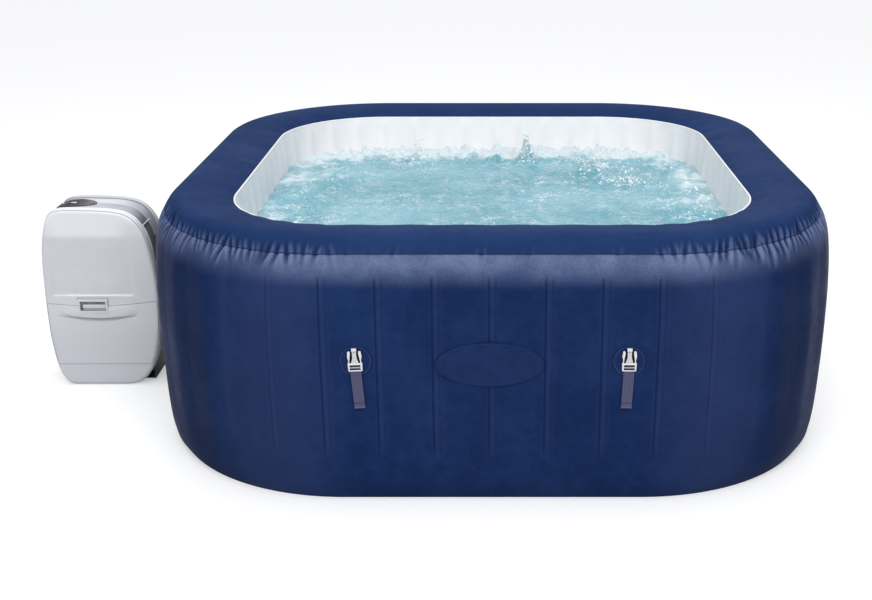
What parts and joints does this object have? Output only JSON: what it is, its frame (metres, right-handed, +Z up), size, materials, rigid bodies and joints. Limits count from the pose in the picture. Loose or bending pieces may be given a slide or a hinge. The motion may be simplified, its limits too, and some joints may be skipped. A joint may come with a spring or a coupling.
{
  "type": "inflatable hot tub",
  "caption": "Inflatable square hot tub with soft navy walls, a pale liner, cover-strap buckles and a pump unit standing at its left side",
  "frame": {"origin": "middle of the tub's base on the floor; the pump isn't centred on it", "axes": "+Z up, -Y the front of the tub, -X the side where the pump stands"},
  "size_m": [2.209, 1.816, 0.6602],
  "materials": {
    "wall_vinyl": "satin",
    "rim_vinyl": "satin",
    "base_vinyl": "matte",
    "liner_vinyl": "satin",
    "web_sheet": "matte",
    "tube_vinyl": "satin",
    "badge_vinyl": "satin",
    "webbing": "matte",
    "buckle_plastic": "satin",
    "casing_plastic": "satin",
    "core_plastic": "satin",
    "panel_gloss": "gloss",
    "lens": "gloss",
    "button_plastic": "satin",
    "fitting_plastic": "satin",
    "white_fitting": "satin",
    "filter_paper": "matte",
    "motor_metal": "satin",
    "housing_plastic": "satin",
    "rotor_plastic": "satin",
    "heater_steel": "satin",
    "board": "satin",
    "gland_rubber": "matte"
  },
  "bodies": {
    "tub": {"outer_wall": "wall_vinyl", "top_panel": "rim_vinyl", "inner_wall": "liner_vinyl", "base_panel": "base_vinyl", "floor_panel": "liner_vinyl", "tension_web": "web_sheet", "bubble_tube": "tube_vinyl", "badge_patch": "badge_vinyl", "inlet_pipe": "fitting_plastic", "outlet_pipe": "fitting_plastic", "air_pipe": "fitting_plastic", "filter_base": "white_fitting", "filter_cartridge": "filter_paper", "outlet_grille": "white_fitting", "drain_pipe": "white_fitting", "air_valve": "fitting_plastic", "near_side_cover": "casing_plastic", "far_side_cover": "casing_plastic", "core_casing": "core_plastic", "top_cover": "casing_plastic", "control_panel": "panel_gloss", "display_lens": "lens", "circuit_board": "board", "water_pump_body": "motor_metal", "blower_housing": "housing_plastic", "heater_tube": "heater_steel", "cord_gland": "gland_rubber", "webbing_front_a": "webbing", "webbing_front_b": "webbing", "webbing_right_a": "webbing", "webbing_right_b": "webbing", "webbing_back_a": "webbing", "webbing_back_b": "webbing", "webbing_left_a": "webbing", "webbing_left_b": "webbing"},
    "buckle_front_a": {"buckle_front_a": "buckle_plastic"},
    "buckle_front_b": {"buckle_front_b": "buckle_plastic"},
    "buckle_right_a": {"buckle_right_a": "buckle_plastic"},
    "buckle_right_b": {"buckle_right_b": "buckle_plastic"},
    "buckle_back_a": {"buckle_back_a": "buckle_plastic"},
    "buckle_back_b": {"buckle_back_b": "buckle_plastic"},
    "buckle_left_a": {"buckle_left_a": "buckle_plastic"},
    "buckle_left_b": {"buckle_left_b": "buckle_plastic"},
    "service_door": {"service_door": "casing_plastic"},
    "door_latch": {"door_latch": "casing_plastic"},
    "button_power": {"button_power": "button_plastic"},
    "button_heat": {"button_heat": "button_plastic"},
    "button_bubbles": {"button_bubbles": "button_plastic"},
    "button_filter": {"button_filter": "button_plastic"},
    "button_warmer": {"button_warmer": "button_plastic"},
    "button_cooler": {"button_cooler": "button_plastic"},
    "impeller": {"impeller": "rotor_plastic"},
    "blower_fan": {"blower_fan": "rotor_plastic"},
    "filter_cap": {"filter_cap": "white_fitting"},
    "inflation_cap": {"inflation_cap": "fitting_plastic"},
    "air_valve_cap": {"air_valve_cap": "fitting_plastic"},
    "drain_cap": {"drain_cap": "white_fitting"},
    "inlet_coupling_nut": {"inlet_coupling_nut": "fitting_plastic"},
    "outlet_coupling_nut": {"outlet_coupling_nut": "fitting_plastic"},
    "air_coupling_nut": {"air_coupling_nut": "fitting_plastic"}
  },
  "joints": [
    {"name": "buckle_front_a_tip", "type": "hinge", "parent": "tub", "child": "buckle_front_a", "pos_m": [-0.317, -0.9045, 0.354], "axis": [1, 0, 0], "range_deg": [0, 100]},
    {"name": "buckle_front_b_tip", "type": "hinge", "parent": "tub", "child": "buckle_front_b", "pos_m": [0.317, -0.9045, 0.354], "axis": [1, 0, 0], "range_deg": [0, 100]},
    {"name": "buckle_right_a_tip", "type": "hinge", "parent": "tub", "child": "buckle_right_a", "pos_m": [0.9045, -0.317, 0.354], "axis": [0, 1, 0], "range_deg": [0, 100]},
    {"name": "buckle_right_b_tip", "type": "hinge", "parent": "tub", "child": "buckle_right_b", "pos_m": [0.9045, 0.317, 0.354], "axis": [0, 1, 0], "range_deg": [0, 100]},
    {"name": "buckle_back_a_tip", "type": "hinge", "parent": "tub", "child": "buckle_back_a", "pos_m": [0.317, 0.9045, 0.354], "axis": [-1, 0, 0], "range_deg": [0, 100]},
    {"name": "buckle_back_b_tip", "type": "hinge", "parent": "tub", "child": "buckle_back_b", "pos_m": [-0.317, 0.9045, 0.354], "axis": [-1, 0, 0], "range_deg": [0, 100]},
    {"name": "buckle_left_a_tip", "type": "hinge", "parent": "tub", "child": "buckle_left_a", "pos_m": [-0.9045, 0.317, 0.354], "axis": [0, -1, 0], "range_deg": [0, 100]},
    {"name": "buckle_left_b_tip", "type": "hinge", "parent": "tub", "child": "buckle_left_b", "pos_m": [-0.9045, -0.317, 0.354], "axis": [0, -1, 0], "range_deg": [0, 100]},
    {"name": "service_door_hinge", "type": "hinge", "parent": "tub", "child": "service_door", "pos_m": [-1.161, -0.1785, 0.07], "axis": [1, 0, 0], "range_deg": [0, 75]},
    {"name": "door_latch_slide", "type": "slide", "parent": "service_door", "child": "door_latch", "axis": [0, 0, -1], "range_m": [0, 0.006], "stiffness_N_per_m": 200, "springref_m": -0.003},
    {"name": "button_power_press", "type": "slide", "parent": "tub", "child": "button_power", "axis": [0, 0, -1], "range_m": [0, 0.001], "stiffness_N_per_m": 300, "springref_m": -0.0005},
    {"name": "button_heat_press", "type": "slide", "parent": "tub", "child": "button_heat", "axis": [0, 0, -1], "range_m": [0, 0.001], "stiffness_N_per_m": 300, "springref_m": -0.0005},
    {"name": "button_bubbles_press", "type": "slide", "parent": "tub", "child": "button_bubbles", "axis": [0, 0, -1], "range_m": [0, 0.001], "stiffness_N_per_m": 300, "springref_m": -0.0005},
    {"name": "button_filter_press", "type": "slide", "parent": "tub", "child": "button_filter", "axis": [0, 0, -1], "range_m": [0, 0.001], "stiffness_N_per_m": 300, "springref_m": -0.0005},
    {"name": "button_warmer_press", "type": "slide", "parent": "tub", "child": "button_warmer", "axis": [0, 0, -1], "range_m": [0, 0.001], "stiffness_N_per_m": 300, "springref_m": -0.0005},
    {"name": "button_cooler_press", "type": "slide", "parent": "tub", "child": "button_cooler", "axis": [0, 0, -1], "range_m": [0, 0.001], "stiffness_N_per_m": 300, "springref_m": -0.0005},
    {"name": "impeller_spin", "type": "hinge", "parent": "tub", "child": "impeller", "pos_m": [-1.1, -0.14, 0.09], "axis": [0, 1, 0], "continuous": true},
    {"name": "blower_fan_spin", "type": "hinge", "parent": "tub", "child": "blower_fan", "pos_m": [-1.15, -0.14, 0.39], "axis": [0, 1, 0], "continuous": true},
    {"name": "filter_cap_turn", "type": "hinge", "parent": "tub", "child": "filter_cap", "pos_m": [-0.6, -0.14, 0.125], "axis": [1, 0, 0], "range_deg": [0, 90]},
    {"name": "inflation_cap_turn", "type": "hinge", "parent": "tub", "child": "inflation_cap", "pos_m": [-1.295, -0.092, 0.3], "axis": [-1, 0, 0], "range_deg": [0, 270]},
    {"name": "air_valve_cap_turn", "type": "hinge", "parent": "tub", "child": "air_valve_cap", "pos_m": [-0.9, 0.19, 0.43], "axis": [-1, 0, 0], "range_deg": [0, 270]},
    {"name": "drain_cap_turn", "type": "hinge", "parent": "tub", "child": "drain_cap", "pos_m": [0.2, 0.9, 0.075], "axis": [0, 1, 0], "range_deg": [0, 270]},
    {"name": "inlet_nut_turn", "type": "hinge", "parent": "tub", "child": "inlet_coupling_nut", "pos_m": [-0.95, -0.14, 0.125], "axis": [1, 0, 0], "range_deg": [0, 270]},
    {"name": "outlet_nut_turn", "type": "hinge", "parent": "tub", "child": "outlet_coupling_nut", "pos_m": [-0.95, -0.044, 0.125], "axis": [1, 0, 0], "range_deg": [0, 270]},
    {"name": "air_nut_turn", "type": "hinge", "parent": "tub", "child": "air_coupling_nut", "pos_m": [-0.95, -0.092, 0.205], "axis": [1, 0, 0], "range_deg": [0, 270]}
  ]
}
